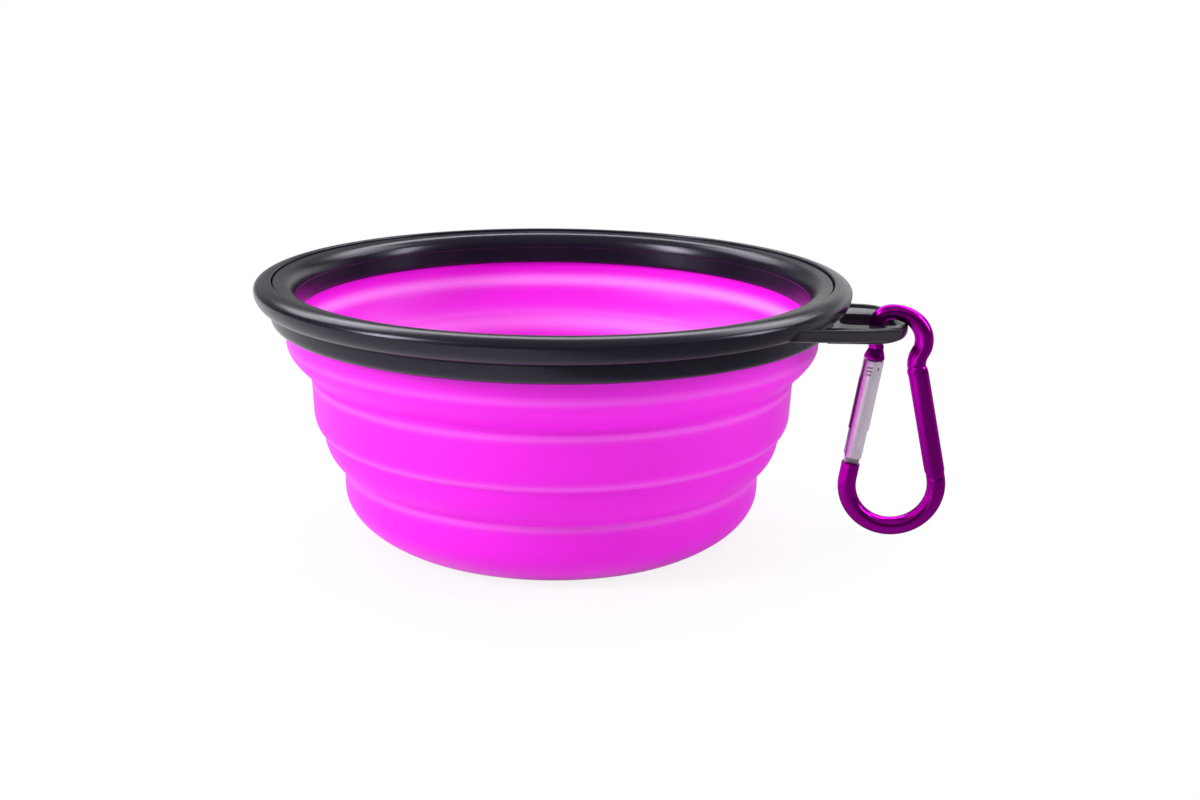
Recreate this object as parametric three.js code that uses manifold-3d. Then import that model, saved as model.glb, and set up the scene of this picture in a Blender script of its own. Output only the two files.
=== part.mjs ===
// A collapsible dog bowl: a silicone bowl that folds flat in two places, held in a three-piece plastic rim,
// with a spring-gate carabiner hanging on the rim's tab. Millimetres, +Z up.
// The origin is the middle of the flat underside, and +X points at the tab.
import * as THREE from "three";
import { mergeVertices } from "three/addons/utils/BufferGeometryUtils.js";
import Module from "manifold-3d";

// Whole height, and the silicone wall from the table up: the height of each stretch but the middle tier,
// which takes what is left, then its outside radius
const BOWL_HEIGHT = 56.3;
const BASE_HEIGHT = 14.6;
const LOWER_FOLD_HEIGHT = 8.4;
const UPPER_FOLD_HEIGHT = 6.2;
const UPPER_HEIGHT = 4.4;
const FOOT_RADIUS = 38.9;
const BASE_RADIUS = 46.4;
const LOWER_FOLD_RADIUS = 50.6;
const MIDDLE_RADIUS = 53;
const UPPER_RADIUS = 58;
const WALL = 2;
const FLOOR = 2.4;

// Rounds of the silicone wall: where each starts above the stretch's lower edge, and how high its corner lies
const BASE_ROUND = 9.4;
const BASE_CORNER = 4.3;
const LOWER_FOLD_CORNER = 3.1;
const MIDDLE_ROUND = 5;
const MIDDLE_CORNER = 1.25;
const MIDDLE_DRAFT = 0.3;
const UPPER_FOLD_CORNER = 3.8;

// Flange of the silicone that the rim's rings hold
const FLANGE_REACH = 2.3;
const FLANGE_THICKNESS = 1.5;

// Rim: skirt, bead and funnel-shaped liner
const SKIRT_HEIGHT = 4.1;
const SKIRT_WALL = 2.8;
const SKIRT_ROUND = 2.4;
const SEAM_GAP = 0.2;
const BEAD_WIDTH = 3.9;
const BEAD_REACH = 3.2;
const BEAD_RISE = 1.9;
const BEAD_DROP = 3.5;
const BEAD_TUCK = 3;
const LINER_SINK = 0.45;
const LINER_WIDTH = 3.4;
const LINER_FALL = 0.5;
const LINER_ROUND = 1.4;
const LINER_DROP = 7.85;
const MOUTH_INSET = 2.9;
const LINER_EDGE = 0.5;

// Tab on the skirt, with the slot that the carabiner hooks through
const TAB_REACH = 12.3;
const TAB_STEP = 3;
const TAB_THICKNESS = 2.5;
const TAB_EDGE = 1;
const TAB_ROOT_WIDTH = 28.4;
const TAB_WIDTH = 27.2;
const TAB_NOSE = 9;
const RIB_WIDTH = 1.4;
const RIB_RISE = 0.8;
const RIB_INSET = 0.3;
const RIB_OVERRUN = 1.5;
const SLOT_GAP = 1.3;
const SLOT_WIDTH = 10.8;
const SLOT_CORNER = 2;
const BAR_WIDTH = 2.9;

// Carabiner frame: a bent rod in an upright plane, from its nose over the hook and down the spine to the bow.
// It hangs a little to one side of the middle of the tab's end bar.
const ROD = 3.95;
const HOOK_ROD = 3.3;
const NOSE_ROD = 3.1;
const HOOK_RISE = 3.7;
const HOOK_SETBACK = 2.05;
const HOOK_SHOULDER = 3.6;
const HOOK_BULGE = 1.3;
const HOOK_LIFT = 4.3;
const HOOK_REACH = 4.8;
const HOOK_DROP = 2.5;
const NOSE_LENGTH = 2.4;
const NECK_DROP = 7.25;
const NECK_INSET = 1.2;
const NECK_RUN = 3;
const SPINE_LEAN = 13.3;
const SPINE_WIDTH = 4.25;
const SPINE_DEPTH = 3.7;
const SPINE_STEP = 0.8;
const BOW_RADIUS = 9.6;
const BOW_DROP = 34.95;
const BOW_OFFSET = 0.3;
const CARABINER_SLIDE = 3;

// Gate, along its own axis from the rivet up, and what is in it
const GATE_LEAN = 8;
const GATE_ROD = 4.4;
const GATE_LENGTH = 22.2;
const GATE_FOOT = 1.9;
const GATE_CHAMFER = 0.4;
const GATE_BORE = 2.7;
const BORE_DEPTH = 15.5;
const RIVET_RISE = 6.8;
const RIVET_RADIUS = 0.8;
const TONGUE_THICKNESS = 1.8;
const TONGUE_WIDTH = 3.2;
const TONGUE_RISE = 1.6;
const FORK_DEPTH = 6.4;
const LATCH_DEPTH = 4.2;
const LATCH_PIN_RADIUS = 0.55;
const LATCH_PIN_DROP = 1.6;
const LATCH_PIN_OFFSET = 0.75;
const BLADE_THICKNESS = 1.3;
const BLADE_WIDTH = 1.6;
const BLADE_LENGTH = 3.6;
const LIP_HEIGHT = 0.8;
const LIP_REACH = 0.5;
const PLUNGER_LENGTH = 3;
const SPRING_WIRE = 0.36;
const SPRING_TURNS = 9;

// Gaps between pieces: beside each other, a pin in its hole, the plunger in its bore and over the tongue,
// and under the gate
const FIT = 0.3;
const PIN_FIT = 0.1;
const PLUNGER_FIT = 0.2;
const PLUNGER_GAP = 0.4;
const GATE_GAP = 1.5;

// Fineness of the round surfaces
const BOWL_SIDES = 60;
const CURVE_STEPS = 4;
const TAB_STEPS = 6;
const EDGE_STEPS = 2;
const SAME_POINT = 1e-4;
const ROD_SIDES = 14;
const GATE_SIDES = 24;
const PIN_SIDES = 16;
const COIL_STEPS = 8;
const COIL_SIDES = 5;

// Levels of the bowl
const rimHeight = SKIRT_HEIGHT + BEAD_DROP + BEAD_RISE;
const foldHeights = LOWER_FOLD_HEIGHT + UPPER_FOLD_HEIGHT;
const middleHeight = BOWL_HEIGHT - BASE_HEIGHT - foldHeights - UPPER_HEIGHT - rimHeight;
const lowerCrease = BASE_HEIGHT;
const middleCrease = lowerCrease + LOWER_FOLD_HEIGHT;
const upperCrease = middleCrease + middleHeight;
const upperKnee = upperCrease + UPPER_FOLD_HEIGHT;
const skirtBottom = upperKnee + UPPER_HEIGHT;
const skirtTop = skirtBottom + SKIRT_HEIGHT;
const flangeTop = skirtTop + FLANGE_THICKNESS;
const beadLevel = skirtTop + BEAD_DROP;
const rimTop = beadLevel + BEAD_RISE;

// Radii of the rim: the seam between bead and liner stands just outside the silicone's flange
const flangeRadius = UPPER_RADIUS + FLANGE_REACH;
const seamRadius = flangeRadius + SEAM_GAP;
const rimRadius = seamRadius + BEAD_WIDTH;
const beadFoot = rimRadius - BEAD_TUCK;
const tabTip = rimRadius + TAB_REACH;

const wasm = await Module();
wasm.setup();

// A geometry as a solid that can be joined and cut
function solid(geometry) {
  const bare = geometry.clone();
  bare.deleteAttribute("normal");
  bare.deleteAttribute("uv");
  const merged = mergeVertices(bare, SAME_POINT);
  return new wasm.Manifold(
    new wasm.Mesh({
      numProp: 3,
      vertProperties: merged.attributes.position.array,
      triVerts: new Uint32Array(merged.index.array),
    }),
  );
}

// A joined or cut solid, back as a geometry
function shape(made) {
  const mesh = made.getMesh();
  const geometry = new THREE.BufferGeometry();
  geometry.setAttribute("position", new THREE.BufferAttribute(mesh.vertProperties, 3));
  geometry.setIndex(new THREE.BufferAttribute(mesh.triVerts, 1));
  geometry.computeVertexNormals();
  return geometry;
}

// A solid of revolution about Z. Its section is a path of (radius, height) that closes on itself,
// or that starts and ends on the axis.
function turned(section, sides = BOWL_SIDES) {
  const all = section.getPoints(CURVE_STEPS);
  const points = all.filter((p, i) => i === 0 || p.distanceTo(all[i - 1]) > SAME_POINT);
  if (THREE.ShapeUtils.area(points) < 0) points.reverse();
  const onAxis = points[0].x === 0 && points.at(-1).x === 0;
  if (!onAxis) points.push(points[0].clone());
  return new THREE.LatheGeometry(points, sides).rotateX(Math.PI / 2);
}

// A round bar on the Z axis, from one height to another
function bar(radius, from, to) {
  const upright = new THREE.CylinderGeometry(radius, radius, to - from, PIN_SIDES).rotateX(Math.PI / 2);
  return upright.translate(0, 0, (from + to) / 2);
}

// A pin along Y at (x, z)
function crossPin(radius, length, x, z) {
  return new THREE.CylinderGeometry(radius, radius, length, PIN_SIDES).translate(x, 0, z);
}

// A block that is centred on the XZ plane, from its low to its high corner there
function block(low, high, thickness) {
  const middle = low.clone().add(high).multiplyScalar(0.5);
  return new THREE.BoxGeometry(high.x - low.x, thickness, high.y - low.y).translate(middle.x, 0, middle.y);
}

// A closed rod along a curve, with a ring of points at each station, a share of the curve's length.
// halves gives the rod's half width along the given side and its half depth across that.
function sweep(curve, stations, sides, sideAt, halves) {
  const position = [];
  const index = [];
  for (const station of stations) {
    const centre = curve.getPoint(station);
    const tangent = curve.getTangent(station);
    const side = sideAt(tangent, station);
    const across = tangent.clone().cross(side);
    const [halfWidth, halfDepth] = halves(station);
    for (let k = 0; k < sides; k++) {
      const angle = (2 * Math.PI * k) / sides;
      const point = centre
        .clone()
        .addScaledVector(side, halfWidth * Math.cos(angle))
        .addScaledVector(across, halfDepth * Math.sin(angle));
      position.push(...point.toArray());
    }
  }
  const last = (stations.length - 1) * sides;
  for (let ring = 0; ring < last; ring += sides) {
    for (let k = 0; k < sides; k++) {
      const a = ring + k;
      const b = ring + ((k + 1) % sides);
      index.push(a, b, a + sides, b, b + sides, a + sides);
    }
  }
  for (let k = 1; k < sides - 1; k++) {
    index.push(0, k + 1, k);
    index.push(last, last + k, last + k + 1);
  }
  const geometry = new THREE.BufferGeometry();
  geometry.setAttribute("position", new THREE.Float32BufferAttribute(position, 3));
  geometry.setIndex(index);
  return geometry;
}

const silicone = new THREE.MeshStandardMaterial({ color: 0xf335ea, roughness: 0.55, metalness: 0 });
const rimPlastic = new THREE.MeshStandardMaterial({ color: 0x26242c, roughness: 0.35, metalness: 0 });
const purpleMetal = new THREE.MeshStandardMaterial({ color: 0x8a0088, roughness: 0.25, metalness: 1 });
const silverMetal = new THREE.MeshStandardMaterial({ color: 0xd8d2dc, roughness: 0.2, metalness: 1 });
const steel = new THREE.MeshStandardMaterial({ color: 0x9a9aa0, roughness: 0.35, metalness: 1 });

const dogBowl = new THREE.Group();

function add(name, geometry, material, parent = dogBowl) {
  const mesh = new THREE.Mesh(geometry, material);
  mesh.name = name;
  parent.add(mesh);
}

// Base cup: the floor and the lowest band, with a wide round between them
const baseSection = new THREE.Path()
  .moveTo(0, 0)
  .lineTo(FOOT_RADIUS, 0)
  .quadraticCurveTo(BASE_RADIUS, BASE_CORNER, BASE_RADIUS, BASE_ROUND)
  .lineTo(BASE_RADIUS, lowerCrease)
  .lineTo(BASE_RADIUS - WALL, lowerCrease)
  .lineTo(BASE_RADIUS - WALL, BASE_ROUND)
  .quadraticCurveTo(BASE_RADIUS - WALL, BASE_CORNER, FOOT_RADIUS - WALL, FLOOR)
  .lineTo(0, FLOOR);
add("base_cup", turned(baseSection), silicone);

// Lower fold: leaves the middle tier upright and bends in to the base cup
const lowerCorner = lowerCrease + LOWER_FOLD_CORNER;
const lowerFoldSection = new THREE.Path()
  .moveTo(BASE_RADIUS, lowerCrease)
  .quadraticCurveTo(LOWER_FOLD_RADIUS, lowerCorner, LOWER_FOLD_RADIUS, middleCrease)
  .lineTo(LOWER_FOLD_RADIUS - WALL, middleCrease)
  .quadraticCurveTo(LOWER_FOLD_RADIUS - WALL, lowerCorner, BASE_RADIUS - WALL, lowerCrease);
add("lower_fold", turned(lowerFoldSection), silicone);

// Middle tier: a straight band whose lower edge rounds in to the lower fold
const middleCorner = middleCrease + MIDDLE_CORNER;
const middleRound = middleCrease + MIDDLE_ROUND;
const middleFoot = MIDDLE_RADIUS - MIDDLE_DRAFT;
const middleSection = new THREE.Path()
  .moveTo(LOWER_FOLD_RADIUS, middleCrease)
  .quadraticCurveTo(middleFoot, middleCorner, middleFoot, middleRound)
  .lineTo(MIDDLE_RADIUS, upperCrease)
  .lineTo(MIDDLE_RADIUS - WALL, upperCrease)
  .lineTo(middleFoot - WALL, middleRound)
  .quadraticCurveTo(middleFoot - WALL, middleCorner, LOWER_FOLD_RADIUS - WALL, middleCrease);
add("middle_tier", turned(middleSection), silicone);

// Upper fold: bends in from the upper wall to the middle tier
const upperCorner = upperCrease + UPPER_FOLD_CORNER;
const upperFoldSection = new THREE.Path()
  .moveTo(MIDDLE_RADIUS, upperCrease)
  .quadraticCurveTo(UPPER_RADIUS, upperCorner, UPPER_RADIUS, upperKnee)
  .lineTo(UPPER_RADIUS - WALL, upperKnee)
  .quadraticCurveTo(UPPER_RADIUS - WALL, upperCorner, MIDDLE_RADIUS - WALL, upperCrease);
add("upper_fold", turned(upperFoldSection), silicone);

// Upper wall: runs up inside the skirt and ends in a flange that lies on it
const upperSection = new THREE.Path()
  .moveTo(UPPER_RADIUS, upperKnee)
  .lineTo(UPPER_RADIUS, skirtTop)
  .lineTo(flangeRadius, skirtTop)
  .lineTo(flangeRadius, flangeTop)
  .lineTo(UPPER_RADIUS - WALL, flangeTop)
  .lineTo(UPPER_RADIUS - WALL, upperKnee);
add("upper_wall", turned(upperSection), silicone);

// Lower ring: the skirt round the silicone, with the tab that sticks out of it
const skirtBore = UPPER_RADIUS + FIT;
const skirtRadius = skirtBore + SKIRT_WALL;
const skirtSection = new THREE.Path()
  .moveTo(skirtBore, skirtBottom)
  .lineTo(skirtRadius - SKIRT_ROUND, skirtBottom)
  .quadraticCurveTo(skirtRadius, skirtBottom, skirtRadius, skirtBottom + SKIRT_ROUND)
  .lineTo(skirtRadius, skirtTop)
  .lineTo(skirtBore, skirtTop);

const tabTop = skirtTop - TAB_STEP;
const tabBottom = tabTop - TAB_THICKNESS;
const tabRoot = Math.sqrt(skirtBore ** 2 - (TAB_ROOT_WIDTH / 2) ** 2);
const tabShoulder = tabTip - TAB_NOSE;
const tabShape = new THREE.Shape()
  .absellipse(tabShoulder, 0, TAB_NOSE, TAB_WIDTH / 2, -Math.PI / 2, Math.PI / 2)
  .lineTo(tabRoot, TAB_ROOT_WIDTH / 2)
  .lineTo(tabRoot, -TAB_ROOT_WIDTH / 2);

const slotStart = skirtRadius + SLOT_GAP;
const slotEnd = tabTip - BAR_WIDTH;
const slotMiddle = (slotStart + slotEnd) / 2;
const slot = new THREE.Path();
for (const quarter of [0, 1, 2, 3]) {
  const towards = new THREE.Vector2(quarter % 3 === 0 ? 1 : -1, quarter < 2 ? 1 : -1);
  const x = slotMiddle + towards.x * ((slotEnd - slotStart) / 2 - SLOT_CORNER);
  const y = towards.y * (SLOT_WIDTH / 2 - SLOT_CORNER);
  slot.absarc(x, y, SLOT_CORNER, (quarter * Math.PI) / 2, ((quarter + 1) * Math.PI) / 2);
}
tabShape.holes.push(slot);
const tab = new THREE.ExtrudeGeometry(tabShape, {
  depth: TAB_THICKNESS - 2 * TAB_EDGE,
  bevelThickness: TAB_EDGE,
  bevelSize: TAB_EDGE,
  bevelOffset: -TAB_EDGE,
  bevelSegments: EDGE_STEPS,
  curveSegments: TAB_STEPS,
}).translate(0, 0, tabBottom + TAB_EDGE);

// A raised rib runs along each side of the tab, from the skirt to just past where the tab's end turns in
const ribShape = new THREE.Shape()
  .moveTo(0, -TAB_THICKNESS / 2)
  .lineTo(RIB_WIDTH, -TAB_THICKNESS / 2)
  .absellipse(RIB_WIDTH / 2, 0, RIB_WIDTH / 2, RIB_RISE, 0, Math.PI);
const ribTurn = new THREE.Matrix4().makeBasis(
  new THREE.Vector3(0, 1, 0),
  new THREE.Vector3(0, 0, 1),
  new THREE.Vector3(1, 0, 0),
);
const rib = new THREE.ExtrudeGeometry(ribShape, {
  depth: tabShoulder + RIB_OVERRUN - tabRoot,
  bevelEnabled: false,
  curveSegments: CURVE_STEPS,
})
  .applyMatrix4(ribTurn)
  .translate(tabRoot, 0, tabTop);
const ribSide = TAB_WIDTH / 2 - RIB_INSET - RIB_WIDTH;

// Tab and ribs start inside the skirt's wall and end flush with its bore
const boreSection = new THREE.Path()
  .moveTo(0, tabBottom - SKIRT_WALL)
  .lineTo(skirtBore, tabBottom - SKIRT_WALL)
  .lineTo(skirtBore, rimTop)
  .lineTo(0, rimTop);
const ribbedTab = solid(tab)
  .add(solid(rib.clone().translate(0, ribSide, 0)))
  .add(solid(rib.clone().translate(0, -ribSide - RIB_WIDTH, 0)))
  .subtract(solid(turned(boreSection)));
const lowerRing = solid(turned(skirtSection)).add(ribbedTab);
add("lower_ring", shape(lowerRing), rimPlastic);

// Bead ring: the round outer bead, which stands on the skirt outside the flange
const beadBore = seamRadius + FIT / 2;
const beadMiddle = rimRadius - BEAD_REACH;
const seamAngle = Math.acos((beadBore - beadMiddle) / BEAD_REACH);
const beadSection = new THREE.Path()
  .moveTo(beadBore, skirtTop)
  .lineTo(beadFoot, skirtTop)
  .absellipse(beadFoot, beadLevel, BEAD_TUCK, BEAD_DROP, -Math.PI / 2, 0)
  .absellipse(beadMiddle, beadLevel, BEAD_REACH, BEAD_RISE, 0, seamAngle);
add("bead_ring", turned(beadSection), rimPlastic);

// Liner ring: lies on the flange inside the bead and funnels down over the silicone's edge
const linerRadius = seamRadius - FIT / 2;
const linerTop = rimTop - LINER_SINK;
const linerBottom = rimTop - LINER_DROP;
const brow = new THREE.Vector2(linerRadius - LINER_WIDTH - LINER_ROUND, linerTop - LINER_FALL);
const mouth = new THREE.Vector2(UPPER_RADIUS - MOUTH_INSET, linerBottom);
const funnelTop = mouth.clone().sub(brow).setLength(LINER_ROUND).add(brow);
const linerSection = new THREE.Path()
  .moveTo(linerRadius, flangeTop)
  .lineTo(linerRadius, linerTop)
  .lineTo(brow.x + LINER_ROUND, brow.y)
  .quadraticCurveTo(brow.x, brow.y, funnelTop.x, funnelTop.y)
  .lineTo(mouth.x, mouth.y)
  .lineTo(mouth.x + LINER_EDGE, mouth.y)
  .lineTo(UPPER_RADIUS - WALL - FIT, flangeTop);
add("liner_ring", turned(linerSection), rimPlastic);

// Where the carabiner turns on the tab's end bar, and where its bow, rivet and gate lie
const pivot = new THREE.Vector2(tabTip - BAR_WIDTH / 2, (tabTop + tabBottom) / 2);
const bow = new THREE.Vector2(pivot.x + BOW_OFFSET, pivot.y - BOW_DROP);
const gateLean = THREE.MathUtils.degToRad(GATE_LEAN);
const spineLean = THREE.MathUtils.degToRad(SPINE_LEAN);
const up = new THREE.Vector2(Math.sin(gateLean), Math.cos(gateLean));
const gateStart = new THREE.Vector2(-up.y, up.x).multiplyScalar(BOW_RADIUS).add(bow);
const rivet = up.clone().multiplyScalar(RIVET_RISE).add(gateStart);
const gateTop = GATE_LENGTH - GATE_FOOT;

// A point on the gate's axis, at a height above the rivet along it
function onGate(height) {
  return up.clone().multiplyScalar(height).add(rivet);
}

// A geometry made in the gate's own frame, with the rivet at its origin, put in place
function placed(geometry) {
  return geometry.rotateY(gateLean).translate(rivet.x, 0, rivet.y);
}

// The frame's centre line, from the nose over the hook, down the spine and round the bow to the gate
const nose = onGate(gateTop + FIT);
const noseRoot = onGate(gateTop + FIT + NOSE_LENGTH);
const hookLift = noseRoot.clone().add(new THREE.Vector2(-HOOK_BULGE, HOOK_LIFT));
const hookTop = new THREE.Vector2(pivot.x - HOOK_SETBACK, pivot.y + HOOK_RISE);
const hookSide = new THREE.Vector2(pivot.x + HOOK_REACH, pivot.y - HOOK_DROP);
const neck = new THREE.Vector2(hookSide.x - NECK_INSET, pivot.y - NECK_DROP);
const neckRise = (hookSide.y - neck.y) / 2;
const spineUp = new THREE.Vector2(-Math.sin(spineLean), Math.cos(spineLean));
const spineFoot = new THREE.Vector2(spineUp.y, -spineUp.x).multiplyScalar(BOW_RADIUS).add(bow);
const spineLength = (neck.y - NECK_RUN - spineFoot.y) / spineUp.y;
const spineHead = spineUp.clone().multiplyScalar(spineLength).add(spineFoot);
const spineLead = spineUp.clone().multiplyScalar(NECK_RUN / 2).add(spineHead);
const rodEnd = onGate(-GATE_FOOT - GATE_GAP);
const centreLine = new THREE.Path()
  .moveTo(nose.x, nose.y)
  .lineTo(noseRoot.x, noseRoot.y)
  .bezierCurveTo(hookLift.x, hookLift.y, hookTop.x - HOOK_SHOULDER, hookTop.y, hookTop.x, hookTop.y)
  .absellipse(hookTop.x, hookSide.y, hookSide.x - hookTop.x, hookTop.y - hookSide.y, Math.PI / 2, 0, true)
  .bezierCurveTo(hookSide.x, hookSide.y - neckRise, neck.x, neck.y + neckRise, neck.x, neck.y)
  .bezierCurveTo(neck.x, neck.y - NECK_RUN / 2, spineLead.x, spineLead.y, spineHead.x, spineHead.y)
  .lineTo(spineFoot.x, spineFoot.y)
  .absarc(bow.x, bow.y, BOW_RADIUS, spineLean, Math.PI - gateLean, true)
  .lineTo(rodEnd.x, rodEnd.y);

// The centre line as a curve in its upright plane
class UprightCurve extends THREE.Curve {
  getPoint(share, target = new THREE.Vector3()) {
    const point = centreLine.getPoint(share);
    return target.set(point.x, 0, point.y);
  }
}

// Stations: each stretch of the centre line has its own number of steps,
// and the spine has a short step at each end
const RING_STEPS = [2, 8, 7, 5, 3, 3, 18, 1];
const ends = centreLine.getCurveLengths();
const wholeLength = ends.at(-1);
const [noseEnd, hookEnd, turnEnd, , spineStart, spineEnd] = ends;
const stations = [0];
RING_STEPS.forEach((count, stretch) => {
  const start = stretch ? ends[stretch - 1] : 0;
  for (let i = 1; i <= count; i++) {
    stations.push((start + ((ends[stretch] - start) * i) / count) / wholeLength);
  }
});
stations.push((spineStart + SPINE_STEP) / wholeLength, (spineEnd - SPINE_STEP) / wholeLength);
stations.sort((a, b) => a - b);

// Half width and half depth of the rod: flared at the nose, slim over the hook,
// pressed a little flat along the spine
function rodHalves(share) {
  const { smoothstep, lerp } = THREE.MathUtils;
  const along = share * wholeLength;
  if (along < noseEnd) {
    const half = lerp(GATE_ROD, NOSE_ROD, along / noseEnd) / 2;
    return [half, half];
  }
  const hookRod = lerp(NOSE_ROD, HOOK_ROD, smoothstep(along, noseEnd, hookEnd));
  const round = lerp(hookRod, ROD, smoothstep(along, hookEnd, turnEnd)) / 2;
  const into = smoothstep(along, spineStart, spineStart + SPINE_STEP);
  const out = smoothstep(along, spineEnd - SPINE_STEP, spineEnd);
  const pressed = into - out;
  return [lerp(round, SPINE_WIDTH / 2, pressed), lerp(round, SPINE_DEPTH / 2, pressed)];
}

const carabinerRod = sweep(
  new UprightCurve(),
  stations,
  ROD_SIDES,
  (tangent) => new THREE.Vector3(tangent.z, 0, -tangent.x),
  rodHalves,
);

// Carabiner frame: the rod, the tongue that the gate's fork straddles, and the nose's blade with its lip
const tongue = block(
  new THREE.Vector2(-TONGUE_WIDTH / 2, -GATE_FOOT - GATE_GAP - TONGUE_RISE),
  new THREE.Vector2(TONGUE_WIDTH / 2, TONGUE_RISE),
  TONGUE_THICKNESS,
);
const bladeEdge = LATCH_PIN_OFFSET - LATCH_PIN_RADIUS - FIT;
const bladeFoot = gateTop - BLADE_LENGTH;
const blade = block(
  new THREE.Vector2(bladeEdge - BLADE_WIDTH, bladeFoot),
  new THREE.Vector2(bladeEdge, gateTop + FIT + NOSE_LENGTH / 2),
  BLADE_THICKNESS,
);
const lip = block(
  new THREE.Vector2(bladeEdge - BLADE_WIDTH / 2, bladeFoot),
  new THREE.Vector2(bladeEdge + LIP_REACH, bladeFoot + LIP_HEIGHT),
  BLADE_THICKNESS,
);
const tongueHole = crossPin(RIVET_RADIUS + PIN_FIT, GATE_ROD, 0, 0);
const carabinerFrame = solid(carabinerRod)
  .add(solid(placed(tongue)))
  .add(solid(placed(blade)))
  .add(solid(placed(lip)))
  .subtract(solid(placed(tongueHole)));
const carabiner = new THREE.Group();
carabiner.position.y = -CARABINER_SLIDE;
dogBowl.add(carabiner);
add("carabiner_frame", shape(carabinerFrame), purpleMetal, carabiner);

// The gate and what is in it share a frame with the rivet at its origin and +Z along the gate
const gateFrame = new THREE.Group();
gateFrame.position.set(rivet.x, 0, rivet.y);
gateFrame.rotation.y = gateLean;
carabiner.add(gateFrame);

// Gate rivet: joins the gate's fork to the frame's tongue
add("gate_rivet", crossPin(RIVET_RADIUS, GATE_ROD - 2 * PIN_FIT, 0, 0), silverMetal, gateFrame);

// Gate: a rod with a bore for the spring, a fork at the rivet and a slot at the nose
const gateRadius = GATE_ROD / 2;
const gateSection = new THREE.Path()
  .moveTo(0, -GATE_FOOT)
  .lineTo(gateRadius - GATE_CHAMFER, -GATE_FOOT)
  .lineTo(gateRadius, GATE_CHAMFER - GATE_FOOT)
  .lineTo(gateRadius, gateTop - GATE_CHAMFER)
  .lineTo(gateRadius - GATE_CHAMFER, gateTop)
  .lineTo(0, gateTop);
const boreEnd = BORE_DEPTH - GATE_FOOT;
const bore = bar(GATE_BORE / 2, -GATE_FOOT - GATE_ROD, boreEnd);
const fork = block(
  new THREE.Vector2(-GATE_ROD, -GATE_FOOT - GATE_ROD),
  new THREE.Vector2(GATE_ROD, FORK_DEPTH - GATE_FOOT),
  TONGUE_THICKNESS + 2 * FIT,
);
const latchSlot = block(
  new THREE.Vector2(-GATE_ROD, gateTop - LATCH_DEPTH),
  new THREE.Vector2(LATCH_PIN_OFFSET + LATCH_PIN_RADIUS + FIT, gateTop + GATE_ROD),
  BLADE_THICKNESS + 2 * FIT,
);
const pinLevel = gateTop - LATCH_PIN_DROP;
const gate = solid(turned(gateSection, GATE_SIDES))
  .subtract(solid(bore))
  .subtract(solid(fork))
  .subtract(solid(latchSlot))
  .subtract(solid(crossPin(RIVET_RADIUS + PIN_FIT, 2 * GATE_ROD, 0, 0)))
  .subtract(solid(crossPin(LATCH_PIN_RADIUS + PIN_FIT, 2 * GATE_ROD, LATCH_PIN_OFFSET, pinLevel)));
add("gate", shape(gate), silverMetal, gateFrame);

// Latch pin: crosses the gate's slot and rests against the nose's blade
const pinReach = Math.sqrt(gateRadius ** 2 - LATCH_PIN_OFFSET ** 2) - PIN_FIT;
add("latch_pin", crossPin(LATCH_PIN_RADIUS, 2 * pinReach, LATCH_PIN_OFFSET, pinLevel), steel, gateFrame);

// Gate plunger: pressed by the spring against the end of the tongue
const plungerRadius = GATE_BORE / 2 - PLUNGER_FIT;
const plungerFoot = TONGUE_RISE + PLUNGER_GAP;
const plungerTop = plungerFoot + PLUNGER_LENGTH;
add("gate_plunger", bar(plungerRadius, plungerFoot, plungerTop), steel, gateFrame);

// Gate spring: fills the bore above the plunger
const coilRadius = plungerRadius - SPRING_WIRE / 2;
const coilFoot = plungerTop + FIT + SPRING_WIRE / 2;
const coilTop = boreEnd - FIT - SPRING_WIRE / 2;
class Coil extends THREE.Curve {
  getPoint(share, target = new THREE.Vector3()) {
    const angle = 2 * Math.PI * SPRING_TURNS * share;
    const height = THREE.MathUtils.lerp(coilFoot, coilTop, share);
    return target.set(coilRadius * Math.cos(angle), coilRadius * Math.sin(angle), height);
  }
}
const coilCount = SPRING_TURNS * COIL_STEPS;
const coilStations = Array.from({ length: coilCount + 1 }, (_, i) => i / coilCount);
const coilSide = (tangent, share) => {
  const angle = 2 * Math.PI * SPRING_TURNS * share;
  return new THREE.Vector3(Math.cos(angle), Math.sin(angle), 0);
};
const wireHalves = () => [SPRING_WIRE / 2, SPRING_WIRE / 2];
add("gate_spring", sweep(new Coil(), coilStations, COIL_SIDES, coilSide, wireHalves), steel, gateFrame);

export default dogBowl;
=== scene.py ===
# Collapsible dog bowl: a folding silicone bowl in a three-piece plastic rim, with a carabiner on its tab.
# The imported model is the fixed frame.
import math

import bmesh
import bpy
from mathutils import Matrix, Vector


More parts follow.
